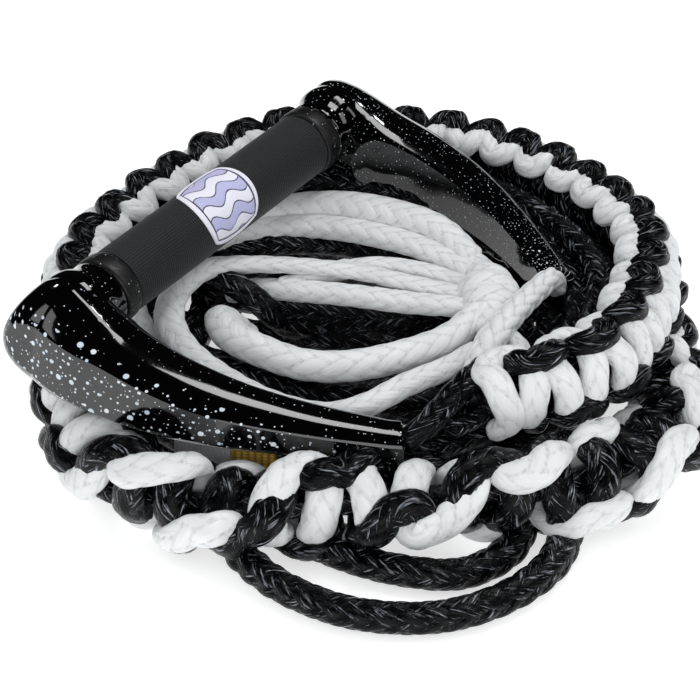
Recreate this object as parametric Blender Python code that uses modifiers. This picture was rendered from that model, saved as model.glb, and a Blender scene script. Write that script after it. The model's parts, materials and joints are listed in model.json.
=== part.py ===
"""Tow rope handle resting on its own coiled rope.

Units are metres, +Z is up and the floor is z = 0. The origin is under the middle of the whole object;
the coil's own centre is COIL_CENTRE, and the positions below are counted from there. The bar grip and
its two arms form a stiff handle that swings about the line through the two arm tips, where the rope
legs come out. Angles round the coil are degrees, counted from +X towards +Y.
"""

from math import cos, pi, radians, sin, sqrt, tau

import bmesh
import bpy
from mathutils import Euler, Matrix, Vector

MM = 0.001
GAP = 0.3 * MM  # clearance between neighbouring pieces
COIL_CENTRE = Vector((-0.8, 17.25, 0)) * MM

# Handle, in its own axes: X along the grip, Y from the arm tips towards the grip, Z out of its plane.
HANDLE_ORIGIN = Vector((48.7, -50.0, 44.5)) * MM  # midway between the two arm tips
HANDLE_TURN = Euler((radians(8.6), radians(-1.8), radians(56.0)))
HEAD_X = 92 * MM  # half the distance between the arm heads
TIP_X = 62 * MM  # half the distance between the arm tips
ARM_REACH = 127 * MM  # from the tip line to the grip's axis

TUBE_OUTER = 9.5 * MM
TUBE_INNER = 8.0 * MM
TUBE_HALF = 80 * MM
PLUG_LENGTH = 14 * MM
SLEEVE_HALF = 63 * MM
FOAM_OUTER = 12.4 * MM
COVER_OUTER = 13.75 * MM
COLLAR_LENGTH = 8.4 * MM
NECK_RADIUS = 15.5 * MM
NECK_START = SLEEVE_HALF + COLLAR_LENGTH + 3 * GAP
EMBLEM_LENGTH = 34 * MM
EMBLEM_HALF_ANGLE = radians(78)
EMBLEM_CENTRE_ANGLE = radians(31)  # from the top of the grip towards the arm tips
EMBLEM_THICKNESS = 0.6 * MM
KNOT_RADIUS = 8.6 * MM
KNOT_X = 94 * MM
KNOT_Y = ARM_REACH - 6 * MM

# Rope sizes, as radii.
LINE_RADIUS = 5.0 * MM
LEG_RADIUS = 4.6 * MM
CHANNEL_RADIUS = LEG_RADIUS + 0.6 * MM
CORE_RADIUS = 5.0 * MM
KNOTTED_RADIUS = 13.5 * MM
BIGHT_RADIUS = 7.5 * MM
BACK_RUN_RADIUS = 5.5 * MM
LINE_REST_HEIGHT = LINE_RADIUS * cos(pi / 10)  # a ten-sided rope rests on a flat side

# Arm stations from the top of the head to the tip: (how far along Y from the tip line, half width).
ARM_STATIONS = (
    (147.4, 5.0), (145.0, 10.5), (140.0, 16.0), (133.0, 19.8), (125.0, 21.0), (114.0, 20.2),
    (101.0, 18.2), (86.0, 16.6), (70.0, 14.8), (53.0, 12.8), (36.0, 10.9), (18.0, 9.2),
    (6.0, 8.2), (0.0, 7.6),
)
ARM_BULGE = 9 * MM  # how far the arm bows outwards between head and tip
ARM_SIDES = 14

# Centre line of the knotted section: (angle, radius, height) in degrees and millimetres.
KNOTTED_LINE = (
    (-62, 103, 46), (-30, 117, 48), (15, 124, 43), (60, 122, 42), (105, 124, 39.5), (150, 121, 32),
    (200, 127, 25.5), (250, 122, 24.5), (295, 124, 25.5), (318, 128, 23), (340, 131, 16), (365, 124, 14),
)
KNOTTED_SEGMENTS = 46

# Main line: inner turn on the floor, then three stacked turns.
INNER_TURN_RADIUS = 66 * MM
OUTER_TURN_RADIUS = 97 * MM
TURN_PITCH = 10.8 * MM
LINE_STEP = 15  # degrees

STRAP_ANGLE = radians(-112)
STRAP_WIDTH = 25 * MM
STRAP_THICKNESS = 0.85 * MM

# Free bights of the line in front of the coil, as (x, y) on the floor in millimetres.
OUTER_LOOP = (
    (-54, -94), (-47, -112), (-38, -132), (-22, -150), (2, -163), (30, -165), (54, -155), (72, -137),
    (80, -116), (82, -94),
)
INNER_LOOP = (
    (-30, -103), (-20, -117), (-4, -129), (16, -138), (38, -141), (54, -132), (62, -118), (64, -103),
)
LOOP_HINGE_Y = -137 * MM


def clear_scene():
    for obj in list(bpy.data.objects):
        bpy.data.objects.remove(obj)


def new_collection(name, hidden=False):
    made = bpy.data.collections.new(name)
    bpy.context.scene.collection.children.link(made)
    made.hide_render = hidden
    return made


def new_material(name, colour, roughness, metallic=0.0):
    made = bpy.data.materials.new(name)
    made.use_nodes = True
    shader = made.node_tree.nodes["Principled BSDF"]
    shader.inputs["Base Color"].default_value = (*colour, 1)
    shader.inputs["Roughness"].default_value = roughness
    shader.inputs["Metallic"].default_value = metallic
    made.diffuse_color = (*colour, 1)
    return made


def place(obj, material, parent=None, smooth=True):
    """Puts a piece in the model's collection, with its own material and its parent."""
    PARTS.objects.link(obj)
    obj.data.materials.append(material)
    obj.parent = parent or COIL
    if smooth and obj.type == "MESH":
        obj.data.shade_smooth()
    return obj


def place_helper(obj, parent=None):
    """Keeps a cutter or a rope's cross-section out of the model."""
    HELPERS.objects.link(obj)
    obj.hide_render = True
    obj.display_type = "WIRE"
    obj.parent = parent
    return obj


def mesh_object(name, bm):
    bmesh.ops.recalc_face_normals(bm, faces=bm.faces)
    mesh = bpy.data.meshes.new(name)
    bm.to_mesh(mesh)
    bm.free()
    return bpy.data.objects.new(name, mesh)


def pivot(name, location, turn=None, parent=None):
    empty = bpy.data.objects.new(name, None)
    empty.location = location
    if turn:
        empty.rotation_euler = turn
    empty.parent = parent
    PARTS.objects.link(empty)
    return empty


def boolean(obj, other, operation):
    modifier = obj.modifiers.new(operation.title() + " " + other.name, "BOOLEAN")
    modifier.object = other
    modifier.operation = operation
    modifier.solver = "EXACT"


def loft(name, rings):
    """A closed solid through rings of points, capped at both ends."""
    bm = bmesh.new()
    loops = [[bm.verts.new(point) for point in ring] for ring in rings]
    for before, after in zip(loops, loops[1:]):
        for i in range(len(before)):
            j = (i + 1) % len(before)
            bm.faces.new((before[i], before[j], after[j], after[i]))
    bm.faces.new(loops[0])
    bm.faces.new(loops[-1])
    return mesh_object(name, bm)


def smooth_path(points, steps):
    """Points on a Catmull-Rom curve through the given ones."""
    known = [Vector(p) for p in points]
    known = [2 * known[0] - known[1]] + known + [2 * known[-1] - known[-2]]
    spans = len(known) - 3
    path = []
    for i in range(steps + 1):
        at = i / steps * spans
        k = min(int(at), spans - 1)
        t = at - k
        a, b, c, d = known[k : k + 4]
        path.append(
            (2 * b + (c - a) * t + (2 * a - 5 * b + 4 * c - d) * t * t + (3 * (b - c) + d - a) * t**3) / 2
        )
    return path


def eased(low, high, share):
    share = min(max(share, 0), 1)
    return low + (high - low) * share * share * (3 - 2 * share)


def on_coil(angle, radius, height):
    return Vector((radius * cos(angle), radius * sin(angle), height))


def on_handle(x, y, z=0.0):
    """A point given in the handle's axes, in the coil's axes."""
    return HANDLE_ORIGIN + HANDLE_TURN.to_matrix() @ Vector((x, y, z))


def rope(name, path, radius, material, parent=None, fineness=2, origin=None):
    """A round rope along a path, as a curve with filled ends."""
    curve = bpy.data.curves.new(name, "CURVE")
    curve.dimensions = "3D"
    curve.twist_mode = "Z_UP"
    curve.bevel_depth = radius
    curve.bevel_resolution = fineness
    curve.use_fill_caps = True
    fill_spline(curve, [p - (origin or Vector()) for p in path])
    return place(bpy.data.objects.new(name, curve), material, parent)


def fill_spline(curve, path, cyclic=False):
    spline = curve.splines.new("POLY")
    spline.points.add(len(path) - 1)
    for point, place_at in zip(spline.points, path):
        point.co = (*place_at, 1)
    spline.use_cyclic_u = cyclic
    spline.use_smooth = True


def turned(name, profile, material, parent, sides=24):
    """A shape turned about X: the profile is (along X, radius) points, clockwise, closed into a ring."""
    bm = bmesh.new()
    corners = [bm.verts.new((x, 0, r)) for x, r in reversed(profile)]
    for i, corner in enumerate(corners):
        bm.edges.new((corner, corners[(i + 1) % len(corners)]))
    mesh = bpy.data.meshes.new(name)
    bm.to_mesh(mesh)
    bm.free()
    obj = place(bpy.data.objects.new(name, mesh), material, parent)
    screw = obj.modifiers.new("Turn", "SCREW")
    screw.axis = "X"
    screw.steps = screw.render_steps = sides
    screw.use_merge_vertices = True
    screw.merge_threshold = 0.00001
    obj.location = (0, ARM_REACH, 0)
    return obj


def cylinder(name, radius, start, end, y, sides=24):
    """A cylinder along X from start to end, at height y in the handle's axes."""
    bm = bmesh.new()
    bmesh.ops.create_cone(
        bm, cap_ends=True, segments=sides, radius1=radius, radius2=radius, depth=abs(end - start)
    )
    bmesh.ops.rotate(bm, verts=bm.verts, matrix=Matrix.Rotation(pi / 2, 3, "Y"))
    obj = mesh_object(name, bm)
    obj.location = ((start + end) / 2, y, 0)
    return obj


def ball(name, centre, radii, rings=8, sides=12, turn=0.0):
    """A rounded lump: a sphere stretched to three radii, turned about Z."""
    bm = bmesh.new()
    bmesh.ops.create_uvsphere(bm, u_segments=sides, v_segments=rings, radius=1)
    bmesh.ops.scale(bm, verts=bm.verts, vec=radii)
    obj = mesh_object(name, bm)
    obj.location = centre
    obj.rotation_euler.z = turn
    return obj


# Handle


def arm_centre(side, y):
    """The arm's centre line in the handle's plane, at distance y from the tip line."""
    share = min(max(1 - y / ARM_REACH, 0), 1)
    x = HEAD_X + (TIP_X - HEAD_X) * share**1.5 + ARM_BULGE * sin(pi * share)
    if y < 0:
        x = TIP_X + y * 0.75
    return Vector((side * x, y, 0))


def rounded_square(half, sides, squareness=2.6):
    """Points of a superellipse in the plane across the arm."""
    ring = []
    for i in range(sides):
        angle = tau * (i + 0.5) / sides
        size = half / (abs(cos(angle)) ** squareness + abs(sin(angle)) ** squareness) ** (1 / squareness)
        ring.append((size * cos(angle), size * sin(angle)))
    return ring


def arm_frame(side, y):
    """The directions along and across the arm's centre line at y."""
    step = 1 * MM
    along = (arm_centre(side, y - step) - arm_centre(side, y + step)).normalized()
    return along, along.cross(Vector((0, 0, 1)))


def arm(name, side, material, parent):
    rings = []
    for y, half in ARM_STATIONS:
        centre = arm_centre(side, y * MM)
        _, across = arm_frame(side, min(y * MM, ARM_REACH - 12 * MM))
        rings.append([centre + across * a + Vector((0, 0, b)) for a, b in rounded_square(half * MM, ARM_SIDES)])
    made = place(loft(name, rings), material, parent)
    neck = cylinder(name + "_neck", NECK_RADIUS, side * NECK_START, side * (HEAD_X - 4 * MM), ARM_REACH)
    socket = cylinder(
        name + "_socket", TUBE_OUTER + GAP, side * (NECK_START - 4 * MM), side * (TUBE_HALF + GAP), ARM_REACH
    )
    pocket = ball(name + "_pocket", (side * KNOT_X, KNOT_Y, 0), [KNOT_RADIUS + 1 * MM] * 3, 12, 16)
    channel = loft(name + "_channel", channel_rings(side))
    boolean(made, place_helper(neck, parent), "UNION")
    for cutter in (socket, pocket, channel):
        boolean(made, place_helper(cutter, parent), "DIFFERENCE")
    return made


def channel_path(side):
    """Centre line of the rope channel, from the knot pocket to just outside the tip."""
    start, end = KNOT_Y - KNOT_RADIUS, -4 * MM
    return [arm_centre(side, start + (end - start) * i / 10) for i in range(11)]


def channel_rings(side, sides=12):
    rings = []
    for centre in channel_path(side):
        _, across = arm_frame(side, centre.y)
        turn = [tau * i / sides for i in range(sides)]
        rings.append(
            [centre + CHANNEL_RADIUS * (across * cos(a) + Vector((0, 0, sin(a)))) for a in turn]
        )
    return rings


def collar(name, side, material, parent):
    inner = TUBE_OUTER + GAP
    start = SLEEVE_HALF + GAP
    profile = (
        (start, inner),
        (start, COVER_OUTER + 0.6 * MM),
        (start + 2 * MM, COVER_OUTER + 1.4 * MM),
        (start + COLLAR_LENGTH - 1 * MM, NECK_RADIUS + 0.6 * MM),
        (start + COLLAR_LENGTH, NECK_RADIUS),
        (start + COLLAR_LENGTH, inner),
    )
    if side < 0:
        profile = tuple((-x, r) for x, r in reversed(profile))
    return turned(name, profile, material, parent)


def sleeve(name, half, inner, outer, material, parent, edge=0.0):
    """A tube round the grip's axis, with its end edges eased by a chamfer."""
    profile = [(-half, inner), (-half, outer - edge), (-half + edge, outer)]
    profile += [(half - edge, outer), (half, outer - edge), (half, inner)]
    if not edge:
        profile = [(-half, inner), (-half, outer), (half, outer), (half, inner)]
    return turned(name, profile, material, parent, 28)


def emblem(parent, material):
    """A patch with rounded corners, bent round the sleeve."""
    bm = bmesh.new()
    bmesh.ops.create_grid(bm, x_segments=6, y_segments=12, size=1)
    radius = COVER_OUTER + GAP
    for vert in bm.verts:
        s, t = vert.co.x, vert.co.y
        along = s * sqrt(1 - t * t / 5) * EMBLEM_LENGTH / 2
        angle = EMBLEM_CENTRE_ANGLE + t * sqrt(1 - s * s / 5) * EMBLEM_HALF_ANGLE
        vert.co = (along, -radius * sin(angle), radius * cos(angle))
    made = place(mesh_object("grip_emblem", bm), material, parent)
    made.location = (3 * MM, ARM_REACH, 0)
    wall = made.modifiers.new("Thickness", "SOLIDIFY")
    wall.thickness = EMBLEM_THICKNESS
    wall.offset = 1 if outward(made) else -1
    return made


def outward(obj):
    face = obj.data.polygons[len(obj.data.polygons) // 2]
    return face.normal.dot(Vector((0, face.center.y, face.center.z))) > 0


def plug(name, side, material, parent):
    end = TUBE_HALF - 1 * MM
    made = cylinder(name, TUBE_INNER - GAP, side * (end - PLUG_LENGTH), side * end, ARM_REACH)
    return place(made, material, parent, smooth=False)


def build_handle():
    swing = pivot("handle_swing_pivot", HANDLE_ORIGIN, HANDLE_TURN, COIL)
    gloss = new_material("speckled_gloss_black", (0.012, 0.012, 0.014), 0.12)
    tube = new_material("anodised_tube", (0.72, 0.73, 0.75), 0.3, 1.0)
    foam = new_material("eva_foam", (0.05, 0.05, 0.055), 0.85)
    woven = new_material("woven_nylon", (0.02, 0.021, 0.023), 0.75)
    thread = new_material("emblem_thread", (0.74, 0.74, 0.86), 0.55)
    black = new_material("black_leg_rope", (0.018, 0.02, 0.024), 0.4)
    white = new_material("white_leg_rope", (0.83, 0.85, 0.86), 0.5)

    sleeve("grip_core_tube", TUBE_HALF, TUBE_INNER, TUBE_OUTER, tube, swing)
    sleeve("grip_foam", SLEEVE_HALF - 1 * MM, TUBE_OUTER + GAP, FOAM_OUTER, foam, swing)
    sleeve("grip_cover", SLEEVE_HALF, FOAM_OUTER + GAP, COVER_OUTER, woven, swing, 0.5 * MM)
    emblem(swing, thread)
    for prefix, side, cord in (("near_", -1, black), ("far_", 1, white)):
        arm(prefix + "arm", side, gloss, swing)
        collar(prefix + "collar", side, gloss, swing)
        plug(prefix + "tube_plug", side, foam, swing)
        knot = ball(prefix + "stopper_knot", (side * KNOT_X, KNOT_Y, 0), [KNOT_RADIUS] * 3)
        place(knot, cord, swing)
    return black, white


def leg_start(side):
    """The part of a leg inside its arm, in the coil's axes, ending at the arm tip."""
    start = KNOT_Y - KNOT_RADIUS - 1.5 * MM
    return [on_handle(*arm_centre(side, start * (1 - i / 9))) for i in range(10)]


def build_legs(black, white):
    near = [(20, -101, 43), (25, -91, 50), (36, -77, 55), (47, -69, 51), (50, -66, 43)]
    far = [(85, -7, 46), (81, -21, 45), (71, -36, 45), (62, -52, 46)]
    for name, side, rest, material in (("near", -1, near, black), ("far", 1, far, white)):
        start = leg_start(side)
        outside = smooth_path([start[-1]] + [Vector(p) * MM for p in rest], 10)
        rope(name + "_rope_leg", start + outside[1:], LEG_RADIUS, material)


# Knotted section


def knotted_path():
    points = [on_coil(radians(angle), radius * MM, height * MM) for angle, radius, height in KNOTTED_LINE]
    return smooth_path(points, KNOTTED_SEGMENTS)


def half_arc(radius, count):
    """Points on the upper half of a circle, from left to right, stopping GAP short of its diameter."""
    trim = GAP / radius
    angles = [pi - trim - (pi - 2 * trim) * i / (count - 1) for i in range(count)]
    return [(radius * cos(a), radius * sin(a)) for a in angles]


def half_shell(name, upper):
    """Section of one cord: half of a thick ring round the core, as a flat closed outline."""
    outer_arc = half_arc(KNOTTED_RADIUS, 7)
    inner_arc = half_arc(CORE_RADIUS + 3 * GAP, 5)
    side = 1 if upper else -1
    outline = [Vector((side * x, side * y, 0)) for x, y in outer_arc + inner_arc[::-1]]
    curve = bpy.data.curves.new(name, "CURVE")
    curve.dimensions = "2D"
    fill_spline(curve, outline, cyclic=True)
    return place_helper(bpy.data.objects.new(name, curve))


def knotting_cord(name, upper, path, material):
    curve = bpy.data.curves.new(name, "CURVE")
    curve.dimensions = "3D"
    curve.twist_mode = "Z_UP"
    curve.bevel_mode = "OBJECT"
    curve.bevel_object = half_shell(name + "_section", upper)
    curve.use_fill_caps = True
    fill_spline(curve, path)
    return place(bpy.data.objects.new(name, curve), material)


def build_knotted_section():
    path = knotted_path()
    white = new_material("white_knotting_rope", (0.83, 0.85, 0.86), 0.5)
    black = new_material("black_knotting_rope", (0.018, 0.02, 0.024), 0.4)
    core = new_material("core_rope", (0.03, 0.032, 0.036), 0.5)
    rope("knotted_core_rope", path, CORE_RADIUS, core, fineness=1)
    knotting_cord("white_knotting_cord", True, path, white)
    knotting_cord("black_knotting_cord", False, path, black)


# Lines inside the coil


def main_line_point(degrees):
    """The main line's centre: an inner floor turn, an outer floor turn, and two turns stacked on it."""
    radius = eased(INNER_TURN_RADIUS, OUTER_TURN_RADIUS, (degrees - 330) / 60)
    height = LINE_REST_HEIGHT
    for rise_start in (680, 1040):
        height += eased(0, TURN_PITCH, (degrees - rise_start) / 60)
    return on_coil(radians(degrees), radius, height)


def build_lines():
    black = new_material("black_main_rope", (0.018, 0.02, 0.024), 0.4)
    white = new_material("white_line_rope", (0.83, 0.85, 0.86), 0.5)
    turns = [main_line_point(d) for d in range(15, 1425, LINE_STEP)]
    rope("black_main_line", turns, LINE_RADIUS, black, fineness=3)

    bight = [(-40, 6, 38), (-52, -12, 38), (-50, -34, 38), (-33, -56, 38), (-8, -69, 38), (18, -66, 39), (37, -54, 40)]
    bight = smooth_path([Vector(p) * MM for p in bight], 18)
    rope("white_line_front_bight", bight, BIGHT_RADIUS, white)

    run = [(-58, 18, 37), (-42, 33, 37), (-14, 41, 37), (14, 38, 38), (37, 22, 40), (47, 2, 43)]
    run = smooth_path([Vector(p) * MM for p in run], 14)
    rope("white_line_back_run", run, BACK_RUN_RADIUS, white)

    knot = ball("white_gather_knot", Vector((52, -22, 46)) * MM, Vector((11, 16, 9)) * MM, turn=radians(-12))
    place(knot, white)
    knot = ball("black_tie_knot", Vector((38, -99, 44.5)) * MM, Vector((9, 11, 10)) * MM, turn=radians(28))
    place(knot, black)


def build_slack_loops():
    black = new_material("slack_rope", (0.018, 0.02, 0.024), 0.4)
    origin = Vector((20 * MM, LOOP_HINGE_Y, LINE_REST_HEIGHT))
    lift = pivot("slack_lift_pivot", origin, parent=COIL)
    for name, outline, steps in (("outer_slack_loop", OUTER_LOOP, 24), ("inner_slack_loop", INNER_LOOP, 18)):
        path = smooth_path([Vector((x * MM, y * MM, LINE_REST_HEIGHT)) for x, y in outline], steps)
        rope(name, path, LINE_RADIUS, black, lift, fineness=3, origin=origin)


def rounded_box_outline(width, height, corner, steps=3):
    """A rectangle with rounded corners, as points round its edge."""
    points = []
    for k, (sx, sy) in enumerate(((1, 1), (-1, 1), (-1, -1), (1, -1))):
        for i in range(steps + 1):
            angle = pi / 2 * (k + i / steps)
            points.append(
                Vector((
                    sx * (width / 2 - corner) + corner * cos(angle),
                    sy * (height / 2 - corner) + corner * sin(angle),
                    0,
                ))
            )
    return points


def build_keeper():
    """A webbing band round the two raised turns of the main line, with its closing tab."""
    webbing = new_material("yellow_webbing", (0.62, 0.42, 0.06), 0.7)
    grey = new_material("grey_tab", (0.42, 0.42, 0.44), 0.8)
    inner_low = LINE_REST_HEIGHT * 2 + GAP + STRAP_THICKNESS + 0.1 * MM
    inner_high = LINE_REST_HEIGHT * 2 + 2 * TURN_PITCH + GAP
    inner_width = 12.2 * MM
    inner_height = inner_high - inner_low
    curve = bpy.data.curves.new("keeper_strap", "CURVE")
    curve.dimensions = "2D"
    curve.fill_mode = "BOTH"
    curve.extrude = STRAP_WIDTH / 2
    grow = 2 * STRAP_THICKNESS
    fill_spline(curve, rounded_box_outline(inner_width + grow, inner_height + grow, 2.2 * MM), cyclic=True)
    fill_spline(curve, rounded_box_outline(inner_width, inner_height, 1.4 * MM), cyclic=True)
    strap = place(bpy.data.objects.new("keeper_strap", curve), webbing)
    strap.location = on_coil(STRAP_ANGLE, OUTER_TURN_RADIUS - 0.3 * MM, (inner_low + inner_high) / 2)
    strap.rotation_euler = (pi / 2, 0, STRAP_ANGLE)

    bm = bmesh.new()
    bmesh.ops.create_cube(bm, size=1)
    bmesh.ops.scale(bm, verts=bm.verts, vec=(0.9 * MM, STRAP_WIDTH - 2 * MM, 15 * MM))
    tab = place(mesh_object("keeper_strap_tab", bm), grey, smooth=False)
    reach = OUTER_TURN_RADIUS - 0.3 * MM + inner_width / 2 + STRAP_THICKNESS + GAP + 0.45 * MM
    tab.location = on_coil(STRAP_ANGLE, reach, strap.location.z)
    tab.rotation_euler.z = STRAP_ANGLE
    edge = tab.modifiers.new("Edge", "BEVEL")
    edge.width = 0.3 * MM
    edge.segments = 1


clear_scene()
PARTS = new_collection("tow_rope_handle")
HELPERS = new_collection("helpers", hidden=True)
COIL = pivot("coil_centre", COIL_CENTRE)
build_legs(*build_handle())
build_knotted_section()
build_lines()
build_slack_loops()
build_keeper()
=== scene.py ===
"""Looks of the tow rope handle: braided ropes, knotted section, speckled handle, woven grip.

Everything is in metres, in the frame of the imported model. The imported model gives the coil's centre,
the handle's axes and the hinge lines. Braided rope is a tube whose surface follows a formula for a
two-over, two-under braid, and the knotted section is two such ropes tied in square knots round a core.
"""

import json
from math import cos, pi, radians, sin, tau

import bpy
import numpy as np
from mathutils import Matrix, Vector

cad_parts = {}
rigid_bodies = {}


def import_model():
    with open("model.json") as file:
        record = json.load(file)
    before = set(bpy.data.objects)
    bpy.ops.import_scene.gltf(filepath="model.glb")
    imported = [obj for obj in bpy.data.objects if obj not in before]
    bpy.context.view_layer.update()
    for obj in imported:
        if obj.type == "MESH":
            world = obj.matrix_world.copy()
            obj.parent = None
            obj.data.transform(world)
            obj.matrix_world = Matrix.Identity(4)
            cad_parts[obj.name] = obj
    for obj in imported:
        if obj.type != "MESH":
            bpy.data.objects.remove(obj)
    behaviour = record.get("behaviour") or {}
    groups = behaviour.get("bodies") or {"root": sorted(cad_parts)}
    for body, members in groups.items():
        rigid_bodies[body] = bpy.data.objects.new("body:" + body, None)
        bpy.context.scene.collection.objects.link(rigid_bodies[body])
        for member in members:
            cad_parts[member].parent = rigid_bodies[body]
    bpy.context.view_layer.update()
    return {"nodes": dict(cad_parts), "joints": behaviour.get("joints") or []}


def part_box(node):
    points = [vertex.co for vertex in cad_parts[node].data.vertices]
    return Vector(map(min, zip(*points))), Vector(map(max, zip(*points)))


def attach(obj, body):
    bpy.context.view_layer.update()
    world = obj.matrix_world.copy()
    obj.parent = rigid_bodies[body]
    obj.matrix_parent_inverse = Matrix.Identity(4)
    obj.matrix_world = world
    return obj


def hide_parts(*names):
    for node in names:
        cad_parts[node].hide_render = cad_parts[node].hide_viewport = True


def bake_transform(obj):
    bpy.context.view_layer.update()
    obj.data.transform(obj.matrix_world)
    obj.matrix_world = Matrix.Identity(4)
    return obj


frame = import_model()

MM = 0.001
UP = np.array((0.0, 0.0, 1.0))
RANDOM = np.random.default_rng(7)


# ---- places from the frame

def middle(node):
    low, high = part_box(node)
    return (low + high) / 2


JOINTS = {joint["name"]: joint for joint in frame["joints"]}
COIL = np.array(middle("black_main_line")) * (1, 1, 0)
TIP_MIDDLE = np.array(JOINTS["handle_swing"]["pos_m"])
GRIP_MIDDLE = np.array(middle("grip_core_tube"))
HANDLE_X = np.array(JOINTS["handle_swing"]["axis"])
HANDLE_X /= np.linalg.norm(HANDLE_X)
HANDLE_Y = (GRIP_MIDDLE - TIP_MIDDLE) / np.linalg.norm(GRIP_MIDDLE - TIP_MIDDLE)
HANDLE_Z = np.cross(HANDLE_X, HANDLE_Y)
ARM_REACH = np.linalg.norm(GRIP_MIDDLE - TIP_MIDDLE)


def on_coil(points):
    """Points counted from the coil's centre in millimetres, in the frame."""
    return np.asarray(points, float) * MM + COIL


def on_handle(points):
    """Points in the handle's axes (along the grip, towards the grip, out of its plane), in the frame."""
    x, y, z = np.moveaxis(np.asarray(points, float), -1, 0)
    return TIP_MIDDLE + x[..., None] * HANDLE_X + y[..., None] * HANDLE_Y + z[..., None] * HANDLE_Z


# ---- curves

def unit(vectors):
    return vectors / np.maximum(np.linalg.norm(vectors, axis=-1, keepdims=True), 1e-12)


def catmull_rom(points, per_span):
    """A dense curve through the points."""
    known = np.asarray(points, float)
    known = np.vstack([2 * known[0] - known[1], known, 2 * known[-1] - known[-2]])
    t = np.linspace(0, 1, per_span, endpoint=False)[None, :, None]
    a, b, c, d = (known[i : len(known) - 3 + i, None, :] for i in range(4))
    curve = 2 * b + (c - a) * t + (2 * a - 5 * b + 4 * c - d) * t**2 + (3 * (b - c) + d - a) * t**3
    return np.vstack([(curve / 2).reshape(-1, known.shape[1]), known[-2]])


def lengths(path):
    return np.concatenate([[0], np.cumsum(np.linalg.norm(np.diff(path, axis=0), axis=1))])


def evenly(path, spacing, *others):
    """The path resampled at an even spacing, with any other rows of values carried along."""
    at = lengths(path)
    new = np.linspace(0, at[-1], max(int(round(at[-1] / spacing)), 4) + 1)

    def carried(values):
        values = np.asarray(values, float)
        if values.ndim == 1:
            return np.interp(new, at, values)
        return np.stack([np.interp(new, at, column) for column in values.T], axis=1)

    made = [carried(path)] + [carried(o) for o in others]
    return made[0] if not others else made


def smooth_through(points, spacing=0.9 * MM):
    return evenly(catmull_rom(points, 24), spacing)


def parallel_normals(path):
    """Normals carried along the path without twist, upwards at its start."""
    tangent = unit(np.gradient(path, axis=0))
    normal = UP - tangent[0] * (UP @ tangent[0])
    if np.linalg.norm(normal) < 0.1:
        normal = np.cross(tangent[0], (1.0, 0.0, 0.0))
    normals = [unit(normal)]
    for t in tangent[1:]:
        carried = normals[-1] - t * (normals[-1] @ t)
        normals.append(carried / np.linalg.norm(carried))
    return np.array(normals)


# ---- meshes

def new_object(name, vertices, faces, material, smooth=True):
    mesh = bpy.data.meshes.new(name)
    mesh.from_pydata(vertices, [], faces)
    obj = bpy.data.objects.new(name, mesh)
    bpy.context.scene.collection.objects.link(obj)
    mesh.materials.append(material)
    if smooth:
        mesh.shade_smooth()
    return obj


def grid_object(name, grid, material, around=True, ends=True, uv=None, values=None, inward=False):
    """A mesh over a grid of points: rows run along, columns run around. Ends are closed with a fan."""
    rows, columns = grid.shape[:2]
    steps = columns if around else columns - 1
    i, j = np.meshgrid(np.arange(rows - 1), np.arange(steps), indexing="ij")
    k = (j + 1) % columns
    row, next_row = i * columns, (i + 1) * columns
    faces = np.stack([row + j, row + k, next_row + k, next_row + j], -1).reshape(-1, 4)
    if inward:
        faces = faces[:, ::-1]
    vertices = grid.reshape(-1, 3)
    corner_uv = None
    if uv is not None:
        corners = [(i, j), (i, j + 1), (i + 1, j + 1), (i + 1, j)]
        corner_uv = np.stack([np.stack(uv(a, b), -1) for a, b in corners], 2).reshape(-1, 4, 2)
        if inward:
            corner_uv = corner_uv[:, ::-1]
    face_list = faces.tolist()
    if ends and around:
        for row, flip in ((0, False), (rows - 1, True)):
            centre = len(vertices)
            vertices = np.vstack([vertices, grid[row].mean(0)])
            for c in range(columns):
                a, b = row * columns + c, row * columns + (c + 1) % columns
                fan = (a, centre, b) if flip != inward else (b, centre, a)
                face_list.append(fan[::-1])
    obj = new_object(name, vertices.tolist(), face_list, material)
    if corner_uv is not None:
        layer = obj.data.uv_layers.new(name="braid")
        flat = np.zeros((len(obj.data.loops), 2), np.float32)
        flat[: corner_uv.size // 2] = corner_uv.reshape(-1, 2)
        layer.data.foreach_set("uv", flat.ravel())
    for key, value in (values or {}).items():
        attribute = obj.data.attributes.new(key, "FLOAT", "POINT")
        full = np.zeros(len(vertices), np.float32)
        full[: rows * columns] = np.asarray(value, np.float32).ravel()
        attribute.data.foreach_set("value", full)
    return obj


def join(name, pieces):
    """Several meshes made one piece."""
    for piece in bpy.context.scene.objects:
        piece.select_set(piece in pieces)
    bpy.context.view_layer.objects.active = pieces[0]
    if len(pieces) > 1:
        bpy.ops.object.join()
    pieces[0].name = pieces[0].data.name = name
    return pieces[0]


# ---- braided rope

STRANDS = 6  # in each of the two directions
PICK = 9.6 * MM  # along the rope from one crossing to the next
CROWN_MIDDLE = 0.55  # the crown at which the braid's surface is at the rope's nominal size
ROUNDED_END, END_TIP = 3 * MM, 0.08  # length of a rope's rounded end, and its last size as a share


def braid_crown(x, y):
    """How high the braid stands at strand x and pick y: 0 in the gaps, 1 on the strands."""
    a, b = x + y, x - y
    row_a, row_b = np.floor(a), np.floor(b)
    phase = (row_a + row_b) % 4
    a_on_top = phase < 2
    across = np.where(a_on_top, a - row_a, b - row_b)
    along = np.where(a_on_top, (b + row_a) % 4, (a + row_b) % 4 - 2) / 2
    round_across = np.sqrt(np.clip(1 - (2 * across - 1) ** 2, 0, 1))
    dive = np.clip(np.sin(pi * np.clip(along, 0, 1)), 0, 1) ** 0.6
    return round_across * (0.25 + 0.75 * dive)


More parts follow.
